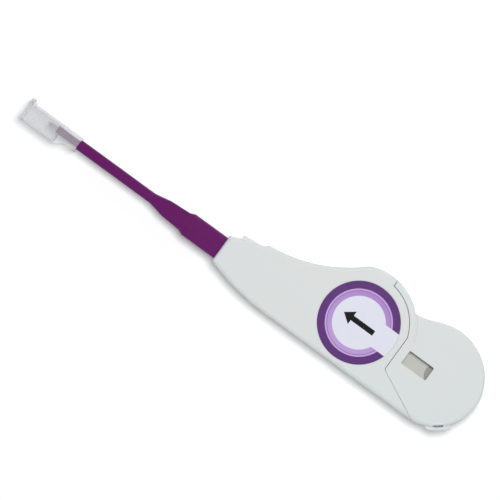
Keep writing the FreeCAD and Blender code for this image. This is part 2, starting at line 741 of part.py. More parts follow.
def rounded_section(x, y0, y1, height, corner):
    """Rectangle across the tool's axis, as a wire, with rounded corners if corner isn't 0."""
    corner = min(corner, (y1 - y0) / 2.2, height / 2.2)
    z0, z1 = MID_Z - height / 2, MID_Z + height / 2
    bow = corner * (1 - math.sqrt(0.5))

    def at(y, z):
        return point(x, y, z)

    if corner == 0:
        return polygon([at(y0, z0), at(y1, z0), at(y1, z1), at(y0, z1)])
    return Part.Wire([
        line(at(y0 + corner, z0), at(y1 - corner, z0)),
        Part.Arc(at(y1 - corner, z0), at(y1 - bow, z0 + bow), at(y1, z0 + corner)).toShape(),
        line(at(y1, z0 + corner), at(y1, z1 - corner)),
        Part.Arc(at(y1, z1 - corner), at(y1 - bow, z1 - bow), at(y1 - corner, z1)).toShape(),
        line(at(y1 - corner, z1), at(y0 + corner, z1)),
        Part.Arc(at(y0 + corner, z1), at(y0 + bow, z1 - bow), at(y0, z1 - corner)).toShape(),
        line(at(y0, z1 - corner), at(y0, z0 + corner)),
        Part.Arc(at(y0, z0 + corner), at(y0 + bow, z0 + bow), at(y0 + corner, z0)).toShape()])


def tube_run(stations, inset, corner):
    """Straight-sided body through stations of (x, low y, high y, height)."""
    wires = [rounded_section(x, y0 + inset, y1 - inset, height - 2 * inset, corner)
             for x, y0, y1, height in stations]
    return Part.makeLoft(wires, True, True)


def nozzle_stations():
    """Sections of the nozzle from its tail to the front of the stem."""
    return [centred(NOZZLE_TAIL_X, NOZZLE_BASE_W, NOZZLE_BASE_H),
            centred(NOZZLE_BASE_X, NOZZLE_BASE_W, NOZZLE_BASE_H),
            centred(NOZZLE_BASE_X - NOZZLE_RAMP, TAPER_W, TAPER_H),
            centred(FLARE_X, FLARE_W, FLARE_H),
            centred(STEM_REAR_X, STEM_W, STEM_H),
            centred(STEM_FRONT_X, STEM_W, STEM_H)]


def nozzle_shell():
    """The whole moulded nozzle, before it is parted into halves."""
    stations = nozzle_stations()
    outer = tube_run(stations, 0, NOZZLE_CORNER_R)
    tip = tube_run([centred(STEM_FRONT_X + 1, TIP_W, TIP_H), centred(TIP_X, TIP_W, TIP_H)],
                   0, TIP_CORNER_R)
    tail = centred(NOZZLE_TAIL_X + 1, NOZZLE_BASE_W, NOZZLE_BASE_H)
    front = centred(STEM_FRONT_X + NOZZLE_WALL, STEM_W, STEM_H)
    inner = tube_run([tail] + stations[1:-1] + [front], NOZZLE_WALL, 0)
    bore = tube_run([centred(STEM_FRONT_X + 2, TIP_W, TIP_H), centred(TIP_X - 1, TIP_W, TIP_H)],
                    TIP_WALL, 0)
    return outer.fuse(tip).removeSplitter().cut([inner, bore])


def nozzle_halves():
    """Lower and upper halves, parted at mid height."""
    shell = nozzle_shell()
    lower = block(TIP_X - CASE_T, NOZZLE_TAIL_X + CASE_T, AXIS_Y - CASE_T, AXIS_Y + CASE_T,
                  -CASE_T, MID_Z)
    return shell.common(lower), shell.cut(lower)


def tape_divider():
    """Flat bar between the two strands, from the carrier to the tip's spring."""
    front = TIP_X + HEAD_LENGTH - (TIP_X - HEAD_X) + TIP_SPRING_LENGTH
    rear = NOZZLE_TAIL_X - SLEEVE_LENGTH - SLIDE_GAP
    half = STEM_H / 2 - NOZZLE_WALL - FIT
    return block(front, rear, AXIS_Y - DIVIDER_T / 2, AXIS_Y + DIVIDER_T / 2,
                 MID_Z - half, MID_Z + half)


def tip_head():
    """Sprung head with a rounded nose that presses the tape on the connector."""
    half = TIP_H / 2 - TIP_WALL - FIT
    nose_r = DIVIDER_T / 2
    rear = HEAD_X + HEAD_LENGTH
    body = block(HEAD_X + nose_r, rear, AXIS_Y - nose_r, AXIS_Y + nose_r,
                 MID_Z - half, MID_Z + half)
    nose = disc(HEAD_X + nose_r, AXIS_Y, nose_r, MID_Z - half, MID_Z + half)
    return body.fuse(nose).removeSplitter()


def coil(centre_y, x0, length, radius, wire_r, turns):
    """Compression spring along X of hexagonal wire in straight runs, its outside on radius."""
    path_r = radius - wire_r
    run = length - 2 * wire_r
    spots = []
    for step in range(turns * COIL_STEPS + 1):
        angle = 2 * math.pi * step / COIL_STEPS
        spots.append(point(x0 + wire_r + run * step / (turns * COIL_STEPS),
                           centre_y + path_r * math.cos(angle), MID_Z + path_r * math.sin(angle)))
    first = (spots[1] - spots[0]) / (spots[1] - spots[0]).Length
    across = first.cross(point(1, 0, 0))
    across = across / across.Length
    other = first.cross(across)
    corners = []
    for step in range(6):
        angle = math.pi * step / 3
        corners.append(spots[0] + across * (wire_r * math.cos(angle))
                       + other * (wire_r * math.sin(angle)))
    sweep = Part.BRepOffsetAPI.MakePipeShell(Part.makePolygon(spots))
    sweep.setTransitionMode(1)
    sweep.add(polygon(corners))
    sweep.build()
    sweep.makeSolid()
    return sweep.shape()


def tip_spring():
    x0 = HEAD_X + HEAD_LENGTH + FIT
    return coil(AXIS_Y, x0, TIP_SPRING_LENGTH - 2 * FIT, TIP_SPRING_R, TIP_SPRING_WIRE_R,
                TIP_SPRING_TURNS)


def return_spring():
    return coil(SPRING_Y, CARRIER_REAR_X + FIT, SPRING_LENGTH - 2 * FIT, SPRING_R, SPRING_WIRE_R,
                SPRING_TURNS)


# ---------------------------------------------------------------- slide carrier and drive

def rack_wire():
    """Rack bar in plan, its teeth towards the gear's axis."""
    pitch = math.pi * GEAR_MODULE
    addendum = ADDENDUM * GEAR_MODULE
    dedendum = DEDENDUM * GEAR_MODULE
    lean = math.tan(math.radians(PRESSURE_ANGLE))
    pitch_y = -GEAR_PITCH_R
    first = -int((STROKE + GEAR_PITCH_R) / pitch) - 1
    last = int(RACK_TAIL / pitch) - 1
    points = [point(CARRIER_REAR_X - 1, pitch_y - RACK_BAR_W),
              point(CARRIER_REAR_X - 1, pitch_y - dedendum)]
    for tooth in range(first, last + 1):
        middle = tooth * pitch
        for side in (-1, 1):
            foot = point(middle + side * (pitch / 4 + dedendum * lean), pitch_y - dedendum)
            crest = point(middle + side * (pitch / 4 - addendum * lean), pitch_y + addendum)
            points.extend([foot, crest] if side < 0 else [crest, foot])
    points.append(point(RACK_TAIL, pitch_y - dedendum))
    points.append(point(RACK_TAIL, pitch_y - RACK_BAR_W))
    return polygon(points)


def slide_carrier():
    """Block behind the nozzle: spigot, shoulders, spring lug and the rack bar."""
    low, high = AXIS_Y - CARRIER_LOW, AXIS_Y + CARRIER_HIGH
    z0, z1 = WALL + RAIL_H + SLIDE_GAP, ROOF_Z - RAIL_H - SLIDE_GAP
    body = block(CARRIER_FRONT_X, CARRIER_REAR_X, low, high, z0, z1)
    spigot_w = NOZZLE_BASE_W - 2 * NOZZLE_WALL - 2 * FIT
    spigot_h = NOZZLE_BASE_H - 2 * NOZZLE_WALL - 2 * FIT
    spigot = tube_run([centred(CARRIER_FRONT_X + 1, spigot_w, spigot_h),
                       centred(CARRIER_FRONT_X - SLEEVE_LENGTH, spigot_w, spigot_h)], 0, SLEEVE_T)
    lug = block(CARRIER_REAR_X - SPRING_LUG_LENGTH, CARRIER_REAR_X, high - 1,
                SPRING_Y + SPRING_R, MID_Z - SPRING_R - 1, MID_Z + SPRING_R + 1)
    tenon = Part.makeCylinder(SPIGOT_R, SPIGOT_LENGTH + 1,
                              point(CARRIER_REAR_X - 1, SPRING_Y, MID_Z), point(1, 0, 0))
    rack = plate(rack_wire(), GEAR_Z0, GEAR_Z0 + GEAR_T)
    carrier = body.multiFuse([spigot, lug, tenon, rack]).removeSplitter()
    way_w = spigot_w - 2 * SLEEVE_T
    way_h = spigot_h - 2 * SLEEVE_T
    way = tube_run([centred(CARRIER_FRONT_X - SLEEVE_LENGTH - 1, way_w, way_h),
                    centred(CARRIER_REAR_X + 1, way_w, way_h)], 0, SLEEVE_T / 2)
    return carrier.cut(way)


def involute_angle(base_r, radius):
    """Degrees that an involute has turned at a radius, from where it leaves its base circle."""
    roll = math.sqrt(max((radius / base_r) ** 2 - 1, 0))
    return math.degrees(roll - math.atan(roll))


def gear_wire():
    """Involute gear in plan, with a space facing -Y. Each flank is an arc through the involute."""
    base_r = GEAR_PITCH_R * math.cos(math.radians(PRESSURE_ANGLE))
    tip_r = GEAR_PITCH_R + ADDENDUM * GEAR_MODULE
    half_tooth = math.degrees((math.pi * GEAR_MODULE / 2 - GEAR_BACKLASH) / (2 * GEAR_PITCH_R))
    root_aside = half_tooth + involute_angle(base_r, GEAR_PITCH_R)
    flank = [(radius, root_aside - involute_angle(base_r, radius))
             for radius in (base_r, (base_r + tip_r) / 2, tip_r)]
    pitch_angle = 360 / GEAR_TEETH
    edges = []
    for tooth in range(GEAR_TEETH):
        middle = -90 + (tooth + 0.5) * pitch_angle
        rise = [polar(HUB, radius, middle - aside) for radius, aside in flank]
        fall = [polar(HUB, radius, middle + aside) for radius, aside in reversed(flank)]
        foot_in = polar(HUB, GEAR_ROOT_R, middle - root_aside)
        foot_out = polar(HUB, GEAR_ROOT_R, middle + root_aside)
        next_foot = polar(HUB, GEAR_ROOT_R, middle + pitch_angle - root_aside)
        edges.extend([line(foot_in, rise[0]), Part.Arc(*rise).toShape(),
                      arc(rise[-1], fall[0], HUB, 1), Part.Arc(*fall).toShape(),
                      line(fall[-1], foot_out), arc(foot_out, next_foot, HUB, 1)])
    return Part.Wire(edges)


def drive_gear():
    """Gear with the one-way fingers that turn the take-up reel."""
    gear = plate(gear_wire(), GEAR_Z0, GEAR_Z0 + GEAR_T)
    hub_z0 = FLANGE_TOP_Z - CLUTCH_DEPTH + STACK_GAP
    hub = disc(0, 0, GEAR_ROOT_R, hub_z0, GEAR_Z0)
    tip_r = CLUTCH_R - CLUTCH_TOOTH - 3 * FIT
    root_r = GEAR_ROOT_R - FINGER_T / 3
    fingers = []
    for start in (0, 180):
        tip = polar(HUB, tip_r, start + FINGER_SWEEP)
        tip_inner = polar(HUB, tip_r - FINGER_T, start + FINGER_SWEEP)
        bend = start + FINGER_SWEEP * 0.75
        wire = Part.Wire([
            Part.Arc(polar(HUB, root_r, start), polar(HUB, tip_r - FINGER_T, bend), tip).toShape(),
            line(tip, tip_inner),
            Part.Arc(tip_inner, polar(HUB, tip_r - 2 * FINGER_T, bend),
                     polar(HUB, root_r, start + FINGER_SWEEP / 3)).toShape(),
            line(polar(HUB, root_r, start + FINGER_SWEEP / 3), polar(HUB, root_r, start))])
        fingers.append(plate(wire, hub_z0, hub_z0 + CLUTCH_DEPTH - 2 * STACK_GAP))
    gear = gear.multiFuse([hub] + fingers).removeSplitter()
    return gear.cut(disc(0, 0, POST_R + FIT, 0, CASE_T))


def stop_pawl():
    """Pawl that rides up a ratchet ramp during the stroke and drops behind the tooth."""
    pivot = point(PAWL_X, PAWL_Y)
    ramp_r = RATCHET_R + RATCHET_LIFT * RATCHET_LAND / RATCHET_SPAN
    nose = polar(HUB, ramp_r + PAWL_NOSE_R + PAWL_GAP, 90)
    between = nose - pivot
    lean = math.asin((PAWL_BOSS_R - PAWL_NOSE_R) / between.Length)
    heading = math.atan2(between.y, between.x)
    upper = heading - math.pi / 2 + lean
    lower = heading + math.pi / 2 - lean

    def rim(centre, radius, angle):
        return polar(centre, radius, math.degrees(angle))

    web = polygon([rim(pivot, PAWL_BOSS_R, upper), rim(nose, PAWL_NOSE_R, upper),
                   rim(nose, PAWL_NOSE_R, lower), rim(pivot, PAWL_BOSS_R, lower)])
    z0, z1 = RATCHET_Z0, RATCHET_Z0 + RATCHET_T
    pawl = plate(web, z0, z1).multiFuse([disc(pivot.x, pivot.y, PAWL_BOSS_R, z0, z1),
                                         disc(nose.x, nose.y, PAWL_NOSE_R, z0, z1)])
    return pawl.removeSplitter().cut(disc(pivot.x, pivot.y, PIVOT_R + FIT, 0, CASE_T))


# ---------------------------------------------------------------- cap

def cap_body_blank():
    """Outer form: a wide chamber that narrows to the sleeve on the nozzle's tip."""
    stations = [(CAP_FRONT_X + CAP_LID_T, CAP_CHAMBER_Y, CAP_TOP_Y, CAP_CHAMBER_H),
                (CAP_CHAMBER_X, CAP_CHAMBER_Y, CAP_TOP_Y, CAP_CHAMBER_H),
                (CAP_SLEEVE_X, CAP_SLEEVE_Y, CAP_TOP_Y, CAP_SLEEVE_H),
                (CAP_REAR_X, CAP_SLEEVE_Y, CAP_TOP_Y, CAP_SLEEVE_H)]
    return tube_run(stations, 0, CAP_CORNER_R)


def guide_cap():
    """Dust cap: chamber for a connector plug in front, sleeve on the nozzle's tip behind."""
    cap = cap_body_blank()
    half_h = CAP_CHAMBER_H / 2 - CAP_WALL
    chamber = block(CAP_FRONT_X, CAP_CHAMBER_X - CAP_WALL, CAP_CHAMBER_Y + CAP_WALL,
                    CAP_TOP_Y - CAP_WALL, MID_Z - half_h, MID_Z + half_h)
    bore_w, bore_h = TIP_W + 2 * FIT, TIP_H + 2 * FIT
    bore = tube_run([centred(CAP_FRONT_X, bore_w, bore_h), centred(CAP_REAR_X + 1, bore_w, bore_h)],
                    0, TIP_CORNER_R)
    ears = []
    for z0, z1 in ((MID_Z - CAP_KNUCKLE_H / 2, MID_Z - CAP_KNUCKLE_H / 6),
                   (MID_Z + CAP_KNUCKLE_H / 6, MID_Z + CAP_KNUCKLE_H / 2)):
        ears.append(disc(KNUCKLE_X, KNUCKLE_Y, CAP_KNUCKLE_R, z0, z1))
        ears.append(block(CAP_FRONT_X + CAP_LID_T, KNUCKLE_X + 2 * CAP_KNUCKLE_R,
                          CAP_TOP_Y - CAP_WALL / 2, KNUCKLE_Y, z0, z1))
    cap = cap.multiFuse(ears).removeSplitter()
    return cap.cut([chamber, bore, disc(KNUCKLE_X, KNUCKLE_Y, CAP_PIN_R + FIT, 0, CASE_T)])


def cap_lid():
    """Lid over the front of the cap, with its knuckle."""
    half = CAP_CHAMBER_H / 2
    x0, x1 = CAP_FRONT_X, CAP_FRONT_X + CAP_LID_T - FIT
    panel = block(x0, x1, CAP_CHAMBER_Y, CAP_TOP_Y, MID_Z - half, MID_Z + half)
    long_edges = [edge for edge in panel.Edges if edge.BoundBox.XLength > CAP_LID_T / 2]
    panel = panel.makeFillet(CAP_CORNER_R, long_edges)
    third = CAP_KNUCKLE_H / 6 - FIT
    knuckle = disc(KNUCKLE_X, KNUCKLE_Y, CAP_KNUCKLE_R, MID_Z - third, MID_Z + third)
    web = block(x0, x1, CAP_TOP_Y - 1, KNUCKLE_Y, MID_Z - third, MID_Z + third)
    lid = panel.multiFuse([knuckle, web]).removeSplitter()
    clear = CAP_KNUCKLE_R + 2 * FIT
    cuts = [disc(KNUCKLE_X, KNUCKLE_Y, clear,
                 MID_Z - CAP_KNUCKLE_H / 2 - FIT, MID_Z - third - 2 * FIT),
            disc(KNUCKLE_X, KNUCKLE_Y, clear,
                 MID_Z + third + 2 * FIT, MID_Z + CAP_KNUCKLE_H / 2 + FIT),
            disc(KNUCKLE_X, KNUCKLE_Y, CAP_PIN_R + FIT, 0, CASE_T)]
    return lid.cut(cuts)


def cap_hinge_pin():
    return disc(KNUCKLE_X, KNUCKLE_Y, CAP_PIN_R,
                MID_Z - CAP_KNUCKLE_H / 2, MID_Z + CAP_KNUCKLE_H / 2)


# ---------------------------------------------------------------- build

def build():
    """Every piece by name."""
    blank = cover_blank()
    nozzle_low, nozzle_high = nozzle_halves()
    low_roller, near_roller = [guide_roller(centre) for centre in roller_centres()]
    return {
        "case_base": case_base(),
        "front_cover": front_cover(blank),
        "rear_cover": rear_cover(blank),
        "round_label": round_label(),
        "nozzle_lower_half": nozzle_low,
        "nozzle_upper_half": nozzle_high,
        "tape_divider": tape_divider(),
        "nozzle_tape": nozzle_tape(),
        "slide_carrier": slide_carrier(),
        "return_spring": return_spring(),
        "tip_head": tip_head(),
        "tip_tape": tip_tape(),
        "tip_spring": tip_spring(),
        "guide_cap": guide_cap(),
        "cap_lid": cap_lid(),
        "cap_hinge_pin": cap_hinge_pin(),
        "drive_gear": drive_gear(),
        "take_up_reel": take_up_reel(),
        "take_up_tape": take_up_tape(),
        "stop_pawl": stop_pawl(),
        "supply_reel": supply_reel(),
        "supply_tape": supply_tape(),
        "feed_strand": feed_strand(),
        "return_strand": return_strand(),
        "low_guide_roller": low_roller,
        "near_guide_roller": near_roller,
    }


def main():
    os.makedirs("parts", exist_ok=True)
    for name, shape in build().items():
        shape.exportStep(os.path.join("parts", name + ".step"))
        print(name, len(shape.Solids), round(shape.Volume, 1), shape.isValid())


if __name__ == "__main__":
    main()
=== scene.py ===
import math

import bmesh
import bpy
from bpy.props import FloatProperty, FloatVectorProperty, IntProperty, PointerProperty
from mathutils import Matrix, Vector


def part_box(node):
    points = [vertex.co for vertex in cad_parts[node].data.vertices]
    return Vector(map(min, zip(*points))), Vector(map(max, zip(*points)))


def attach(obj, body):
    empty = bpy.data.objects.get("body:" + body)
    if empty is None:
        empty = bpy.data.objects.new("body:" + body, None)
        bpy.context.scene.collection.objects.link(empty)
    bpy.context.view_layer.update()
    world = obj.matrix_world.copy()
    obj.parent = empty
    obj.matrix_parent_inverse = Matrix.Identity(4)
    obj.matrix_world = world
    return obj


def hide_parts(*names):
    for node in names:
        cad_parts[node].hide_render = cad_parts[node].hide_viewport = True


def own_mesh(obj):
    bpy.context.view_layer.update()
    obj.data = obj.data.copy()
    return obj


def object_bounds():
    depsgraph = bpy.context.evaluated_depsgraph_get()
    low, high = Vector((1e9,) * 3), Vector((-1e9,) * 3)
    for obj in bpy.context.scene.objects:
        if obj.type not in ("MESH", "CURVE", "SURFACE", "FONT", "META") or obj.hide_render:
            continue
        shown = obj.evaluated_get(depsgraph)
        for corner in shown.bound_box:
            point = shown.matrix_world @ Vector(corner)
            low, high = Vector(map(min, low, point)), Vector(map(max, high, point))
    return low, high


bl_info = {
    "name": "Fibre connector cleaner",
    "version": (1, 0, 0),
    "blender": (4, 5, 0),
    "location": "3D View > Sidebar > Cleaner",
    "description": "Dresses the frame of a hand-held tape cleaner in plastics, film and tape",
    "category": "Object",
}

MM = 0.001

# Zones of the printed label, in the order of its inks.
RING, LINE, HAIRLINE, GROUND, MARK, BAND = range(6)

TOUCHING = 1e-7         # metres within which a corner counts as lying on a cut

# Each wire spring: its piece, the node it stands for, the body it sits on, the joint that
# presses it, the radius of its wire and its turns.
SPRINGS = (("return_spring_wire", "return_spring", "case", "push_slide", 0.35 * MM, 9),
           ("tip_spring_wire", "tip_spring", "nozzle", "head_slide", 0.15 * MM, 6))
CLOSED_TURNS = 1.0      # wound close at each end of a spring
TURN_STEPS = 28         # straight steps in each turn of a spring

# The stage, in metres. The lamps hang at these places from the point that the camera aims at.
FLOOR_HALF = 1.5
KEY_PLACE = (0.03, 0.13, 1.0)
RIM_PLACE = (0.15, 0.9, 0.6)
RIM_SIZE = 0.5

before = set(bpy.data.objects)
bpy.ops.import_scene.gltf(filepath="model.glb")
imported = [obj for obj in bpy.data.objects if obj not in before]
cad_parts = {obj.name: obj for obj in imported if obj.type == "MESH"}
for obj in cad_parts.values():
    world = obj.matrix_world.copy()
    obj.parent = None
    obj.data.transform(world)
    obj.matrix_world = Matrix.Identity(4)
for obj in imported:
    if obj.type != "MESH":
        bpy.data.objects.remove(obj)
cad_low, cad_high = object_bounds()


def linear(hex_colour):
    """An sRGB hex colour as the three linear values that shaders take."""
    values = [int(hex_colour[i:i + 2], 16) / 255 for i in (1, 3, 5)]
    return tuple(v / 12.92 if v <= 0.04045 else ((v + 0.055) / 1.055) ** 2.4 for v in values)


def colour_setting(name, description, hex_colour):
    """A colour that the user can change, from its sRGB hex value."""
    return FloatVectorProperty(name=name, description=description, subtype="COLOR", size=3,
                               min=0.0, max=1.0, default=linear(hex_colour))


def length_setting(name, description, millimetres):
    """A length that the user can change, from its millimetres."""
    return FloatProperty(name=name, description=description, subtype="DISTANCE", unit="LENGTH",
                         precision=5, default=millimetres * MM)


# ---------------------------------------------------------------- settings

class CleanerMouldings(bpy.types.PropertyGroup):
    """Colours and skins of the moulded plastics."""
    shell: colour_setting("Shell", "Off-white of the case's shells", "#DCDDDA")
    shell_tint: colour_setting("Shell tint", "Cooler tone that clouds the shells faintly",
                               "#D8DFE1")
    grain: length_setting("Shell grain", "Spacing of the eroded texture on the shells", 0.55)
    grain_depth: length_setting("Grain depth", "Depth of the eroded texture", 0.012)
    edge: length_setting("Edge rounding", "Radius that moulded edges catch the light with", 0.22)
    nozzle_edge: length_setting("Nozzle edge rounding", "Radius that the nozzle's edges catch the "
                                "light with", 0.7)
    nozzle: colour_setting("Nozzle", "Purple of the nozzle's halves", "#5E1962")
    nozzle_flow: colour_setting("Nozzle flow", "Redder flow lines in the purple", "#6C1E60")
    cap: colour_setting("Cap", "Milky natural plastic of the dust cap", "#ECECF1")
    # Painted shade: the cap's steep sides take this darker colour for the shade they show.
    cap_side_shade: colour_setting("Cap sides", "The cap's steep sides, where it looks denser",
                             "#C6C8CA")
    cap_cover: FloatProperty(name="Cap cover", description="How much a level skin of the cap hides",
                             subtype="FACTOR", min=0.0, max=1.0, default=0.19)
    cap_side_cover: FloatProperty(name="Cap side cover", description="How much a steep skin of "
                                  "the cap hides", subtype="FACTOR", min=0.0, max=1.0,
                                  default=0.5)
    lid_cover: FloatProperty(name="Lid cover", description="How much the lid's thinner skins hide, "
                             "as a share of the cap's", subtype="FACTOR", min=0.0, max=1.0,
                             default=0.6)
    acetal: colour_setting("Acetal", "Natural white of the gear, the pawl and the rollers",
                           "#E6E4DC")
    carrier: colour_setting("Carrier", "Grey of the sliding carrier and the head", "#A9ADB0")
    reel: colour_setting("Reel", "Warm grey of the two tape reels", "#A6A7A1")
    steel: colour_setting("Steel", "Drawn spring wire", "#B9BBBE")


class CleanerLabel(bpy.types.PropertyGroup):
    """Zones and inks of the printed round label."""
    ring: colour_setting("Ring", "Purple ink of the outer ring", "#613A7A")
    line: colour_setting("Line", "Pale line inside the ring", "#CAA8DF")
    hairline: colour_setting("Hairline", "Dark line inside the pale one", "#8C5FB0")
    band: colour_setting("Band", "Lilac ink of the inner band", "#AE8ACA")
    band_pale: colour_setting("Pale band", "The band where its ink runs out", "#BC9DD6")
    paper: colour_setting("Ground", "Pale ground of the label", "#E2E4F0")
    mark: colour_setting("Mark", "Black ink of the direction mark", "#1D1E22")
    ring_width: length_setting("Ring width", "Width of the purple ring", 3.5)
    line_width: length_setting("Line width", "Width of the pale line", 0.75)
    hairline_width: length_setting("Hairline width", "Width of the dark line", 0.3)
    centre: length_setting("Centre radius", "Radius of the pale middle", 12.0)
    strip_low: length_setting("Strip, lower edge", "Lower edge of the strip to the rim", -5.5)
    strip_high: length_setting("Strip, upper edge", "Upper edge of the strip to the rim", 6.2)
    steps: IntProperty(name="Steps", description="Straight steps round the rim", min=48,
                       default=192)


class CleanerTape(bpy.types.PropertyGroup):
    """Colours of the cleaning tape and how its winding shows."""
    clean: colour_setting("Clean tape", "Fresh microfibre tape", "#D6D6D0")
    used: colour_setting("Used tape", "Tape that has been wiped over a connector", "#BDBAB0")
    thread: length_setting("Thread spacing", "Distance between the tape's threads", 0.14)
    winding: length_setting("Winding spacing", "Distance between the drawn edges of the winding",
                            0.45)


class CleanerStudio(bpy.types.PropertyGroup):
    """Floor, lamps and camera."""
    floor: colour_setting("Floor", "Plain pale floor", "#F2F3F4")
    air: colour_setting("Air", "Faintly cool light of the room", "#FCFDFF")
    floor_lift: FloatProperty(name="Floor lift", description="Light of its own that the floor "
                              "shows to the eye", min=0.0, default=0.19)
    sky_low: FloatProperty(name="Walls", description="Strength of the light from the walls",
                           min=0.0, default=0.5)
    sky_high: FloatProperty(name="Ceiling", description="Strength of the light from straight "
                            "above", min=0.0, default=0.12)
    key_power: FloatProperty(name="Key lamp", description="Power of the overhead lamp",
                             unit="POWER", min=0.0, default=7.8)
    key_size: length_setting("Key size", "Width of the overhead lamp", 300.0)
    rim_power: FloatProperty(name="Rim lamp", description="Power of the low lamp",
                             unit="POWER", min=0.0, default=0.9)
    heading: FloatProperty(name="Heading", description="Turn of the camera about the vertical",
                           subtype="ANGLE", unit="ROTATION", default=math.radians(36.1))
    lens: FloatProperty(name="Lens", description="Focal length in millimetres", unit="CAMERA",
                        min=20.0, default=250.0)
    field: length_setting("Field", "Width that the camera takes in at the top face", 222.6)
    aim_x: length_setting("Aim along", "From the middle of the tool, along it", -2.1)
    aim_y: length_setting("Aim across", "From the middle of the tool, across it", -4.5)


# ---------------------------------------------------------------- nodes and meshes

def add_node(tree, kind, inputs=None, **settings):
    """Adds one node. An input takes a value, or the output of another node."""
    made = tree.nodes.new(kind)
    for name, value in settings.items():
        setattr(made, name, value)
    for key, value in (inputs or {}).items():
        if isinstance(value, bpy.types.NodeSocket):
            tree.links.new(value, made.inputs[key])
        else:
            made.inputs[key].default_value = value
    return made


def new_material(name):
    """An empty material: its tree, its output node and the place of each point of the surface."""
    material = bpy.data.materials.new(name)
    material.use_nodes = True
    tree = material.node_tree
    tree.nodes.clear()
    output = add_node(tree, "ShaderNodeOutputMaterial")
    place = add_node(tree, "ShaderNodeTexCoord").outputs["Object"]
    return material, tree, output, place


def opaque(colour):
    """A colour with full cover, as colour sockets take it."""
    return (colour[0], colour[1], colour[2], 1.0)


def clouded(tree, place, first, second, size, detail=3.0):
    """A colour that drifts between two tones over patches of the given size."""
    noise = add_node(tree, "ShaderNodeTexNoise", {"Vector": place, "Scale": 1 / size,
                                                  "Detail": detail})
    return add_node(tree, "ShaderNodeMix", {0: noise.outputs["Fac"], 6: opaque(first),
                                            7: opaque(second)}, data_type="RGBA").outputs[2]


def grained(tree, place, size, depth, edge):
    """A surface normal with moulded grain, over edges rounded by the given radius."""
    soft = add_node(tree, "ShaderNodeBevel", {"Radius": edge}, samples=6)
    noise = add_node(tree, "ShaderNodeTexNoise", {"Vector": place, "Scale": 1 / size,
                                                  "Detail": 2.0})
    return add_node(tree, "ShaderNodeBump", {"Height": noise.outputs["Fac"], "Distance": depth,
                                             "Strength": 1.0,
                                             "Normal": soft.outputs["Normal"]}).outputs["Normal"]


def uneven(tree, place, size, low, high):
    """A measure that drifts between two values over patches of the given size."""
    noise = add_node(tree, "ShaderNodeTexNoise", {"Vector": place, "Scale": 1 / size})
    return add_node(tree, "ShaderNodeMapRange", {"Value": noise.outputs["Fac"], "To Min": low,
                                                 "To Max": high}).outputs["Result"]


def finish_material(tree, output, shader):
    """Puts the finished shader on the surface."""
    tree.links.new(shader.outputs[0], output.inputs["Surface"])


def dress(material, *nodes):
    """Gives carried-over nodes of the frame a finish."""
    for name in nodes:
        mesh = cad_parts[name].data
        if not mesh.materials:
            mesh.materials.append(material)
        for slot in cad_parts[name].material_slots:
            slot.material = material


def new_piece(name, mesh, body):
    """A finished mesh as a piece that rides on a body."""
    piece = bpy.data.objects.new(name, mesh)
    bpy.context.scene.collection.objects.link(piece)
    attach(piece, body)
    return piece


# ---------------------------------------------------------------- materials

def spark_textured_abs(settings):
    """ABS moulded in a spark-eroded tool: opaque off-white, with a fine even grain that breaks
    up reflections, so that the shells look matt and soft. The grain is drawn coarser than the
    real 0.1 mm, which would be too fine to show."""
    material, tree, output, place = new_material("spark_textured_abs")
    colour = clouded(tree, place, settings.shell, settings.shell_tint, size=38 * MM)
    finish_material(tree, output, add_node(tree, "ShaderNodeBsdfPrincipled", {
        "Base Color": colour, "IOR": 1.53,
        "Roughness": uneven(tree, place, size=4 * MM, low=0.46, high=0.6),
        "Normal": grained(tree, place, settings.grain, settings.grain_depth, settings.edge)}))
    return material


def gloss_moulded_abs(settings):
    """ABS dyed purple and moulded in a polished tool: deep and even, with clear highlights along
    its edges and faint redder lines where the melt flowed along the nozzle. Its gloss is held a
    little below that of clear plastic, so that the purple stays deep beside a white floor."""
    material, tree, output, place = new_material("gloss_moulded_abs")
    stretch = (0.12, 1, 1)      # the lines run eight times as far along the nozzle as across it
    long_flow = add_node(tree, "ShaderNodeMapping", {"Vector": place, "Scale": stretch})
    colour = clouded(tree, long_flow.outputs["Vector"], settings.nozzle, settings.nozzle_flow,
                     size=2.5 * MM)
    finish_material(tree, output, add_node(tree, "ShaderNodeBsdfPrincipled", {
        "Base Color": colour, "IOR": 1.53, "Roughness": 0.19, "Specular IOR Level": 0.35,
        "Normal": grained(tree, place, size=1.2 * MM, depth=0.004 * MM,
                          edge=settings.nozzle_edge)}))
    return material


def natural_polypropylene(name, settings, share=1.0):
    """Undyed polypropylene, moulded thin: milky, so that what is inside shows through as a pale
    shape, with a waxy sheen outside. Its steep sides hide more, because more of the plastic
    lies behind them, and their colour is painted darker as painted shade. A thinner moulding hides
    a smaller share."""
    material, tree, output, place = new_material(name)
    facing = add_node(tree, "ShaderNodeTexCoord").outputs["Normal"]
    upright = add_node(tree, "ShaderNodeSeparateXYZ", {0: facing}).outputs["Z"]
    level = add_node(tree, "ShaderNodeMath", {0: upright}, operation="ABSOLUTE").outputs[0]
    # Painted shade: the steeper a face, the more of the darker side colour it takes.
    side = add_node(tree, "ShaderNodeMix", {0: level, 6: opaque(settings.cap_side_shade),
                                            7: opaque(settings.cap)}, data_type="RGBA").outputs[2]
    cloud = uneven(tree, place, size=9 * MM, low=0.0, high=0.12)
    colour = add_node(tree, "ShaderNodeMix", {0: cloud, 6: side, 7: opaque(settings.cap_side_shade)},
                      data_type="RGBA").outputs[2]
    cover = add_node(tree, "ShaderNodeMapRange", {
        "Value": level, "To Min": share * settings.cap_side_cover,
        "To Max": share * settings.cap_cover}).outputs["Result"]
    finish_material(tree, output, add_node(tree, "ShaderNodeBsdfPrincipled", {
        "Base Color": colour, "IOR": 1.49, "Roughness": 0.32, "Alpha": cover,
        "Normal": grained(tree, place, size=1.5 * MM, depth=0.006 * MM,
                          edge=settings.edge)}))
    return material


